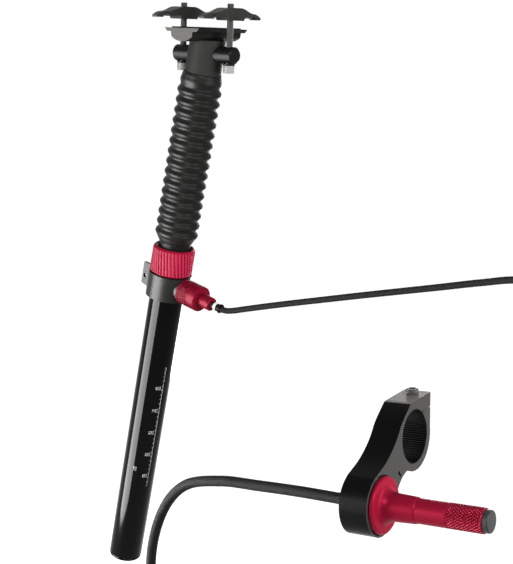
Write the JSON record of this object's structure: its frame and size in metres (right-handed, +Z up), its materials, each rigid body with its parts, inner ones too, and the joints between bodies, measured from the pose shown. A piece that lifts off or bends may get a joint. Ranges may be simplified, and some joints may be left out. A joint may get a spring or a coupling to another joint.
{
  "type": "dropper seatpost",
  "caption": "Cable-operated dropper seatpost: sliding inner post under a ribbed gaiter, two-bolt saddle clamp, side lock-pin actuator and a handlebar joystick remote on its cable.",
  "frame": {"origin": "on the outer tube's axis, at the lower end of its full-diameter wall", "axes": "+Z up the post towards the saddle, +X the way the lock-pin actuator points, +Y across the bicycle"},
  "size_m": [0.4772, 0.3435, 0.4726],
  "materials": {
    "red_anodised": "red anodised, satin, knurled or fluted",
    "gloss_black_tube": "gloss black anodised",
    "black_anodised": "satin black anodised",
    "grey_anodised": "dark grey anodised, matte",
    "steel": "bright plated",
    "black_steel": "black oxide",
    "alloy": "bare",
    "rubber": "moulded, semi-matte",
    "bearing_plastic": "bare nylon",
    "cable_housing": "black outer with a fine weave"
  },
  "bodies": {
    "outer_post": {"outer_tube": "gloss_black_tube", "base_cap": "gloss_black_tube", "upper_bushing": "bearing_plastic", "topout_bumper": "rubber", "wiper_seal": "rubber", "gaiter_collar": "red_anodised", "clamp_band": "black_anodised", "actuator_body": "red_anodised", "actuator_nose": "red_anodised", "cable_ferrule": "steel", "pin_spring": "steel", "main_spring": "steel", "gaiter": "rubber", "cable": "cable_housing", "remote_body": "black_anodised", "remote_screw": "black_steel"},
    "inner_post": {"stanchion": "gloss_black_tube", "lower_guide": "bearing_plastic", "spring_perch": "alloy", "head_neck": "grey_anodised", "clamp_bar": "black_anodised"},
    "saddle_clamp": {"saddle_cradle": "grey_anodised", "front_yoke": "grey_anodised", "rear_yoke": "grey_anodised"},
    "front_clamp_bolt": {"front_bolt": "steel", "front_washer": "black_anodised"},
    "rear_clamp_bolt": {"rear_bolt": "steel", "rear_washer": "black_anodised"},
    "locking_pin": {"lock_pin": "steel", "inner_wire": "steel"},
    "joystick_liner": {"seat_liner": "bearing_plastic"},
    "joystick": {"joystick_lever": "red_anodised", "lever_plug": "rubber", "cable_anchor": "steel"}
  },
  "joints": [
    {"name": "saddle_drop", "type": "slide", "parent": "outer_post", "child": "inner_post", "axis": [0, 0, 1], "range_m": [-0.08, 0], "stiffness_N_per_m": 120, "springref_m": 0.15, "deforming": ["gaiter", "main_spring"]},
    {"name": "saddle_tilt", "type": "hinge", "parent": "inner_post", "child": "saddle_clamp", "pos_m": [-0.00474, 0, 0.45421], "axis": [0, -1, 0], "range_deg": [-6, 6]},
    {"name": "front_bolt_lean", "type": "hinge", "parent": "inner_post", "child": "front_clamp_bolt", "pos_m": [0.02281, 0, 0.43288], "axis": [0, -1, 0], "range_deg": [-0.8, 0.8]},
    {"name": "rear_bolt_lean", "type": "hinge", "parent": "inner_post", "child": "rear_clamp_bolt", "pos_m": [-0.02281, 0, 0.42442], "axis": [0, -1, 0], "range_deg": [-0.8, 0.8]},
    {"name": "pin_draw", "type": "slide", "parent": "outer_post", "child": "locking_pin", "axis": [1, 0, 0], "range_m": [0, 0.0031], "deforming": ["pin_spring"]},
    {"name": "joystick_tilt", "type": "hinge", "parent": "outer_post", "child": "joystick_liner", "pos_m": [0.40778, -0.2972, 0.34702], "axis": [0.186, 0.5417, -0.8197], "range_deg": [0, 10], "stiffness_Nm_per_rad": 0.6, "springref_deg": -11.46},
    {"name": "joystick_side_tilt", "type": "hinge", "parent": "joystick_liner", "child": "joystick", "pos_m": [0.40778, -0.2972, 0.34702], "axis": [-0.2539, 0.8324, 0.4925], "range_deg": [-10, 10], "stiffness_Nm_per_rad": 0.6}
  ],
  "couplings": [
    {"joint": "front_bolt_lean", "follows": "saddle_tilt", "ratio": 0.1156},
    {"joint": "rear_bolt_lean", "follows": "saddle_tilt", "ratio": 0.1156},
    {"joint": "pin_draw", "follows": "joystick_tilt", "m_per_rad": 0.017189}
  ]
}
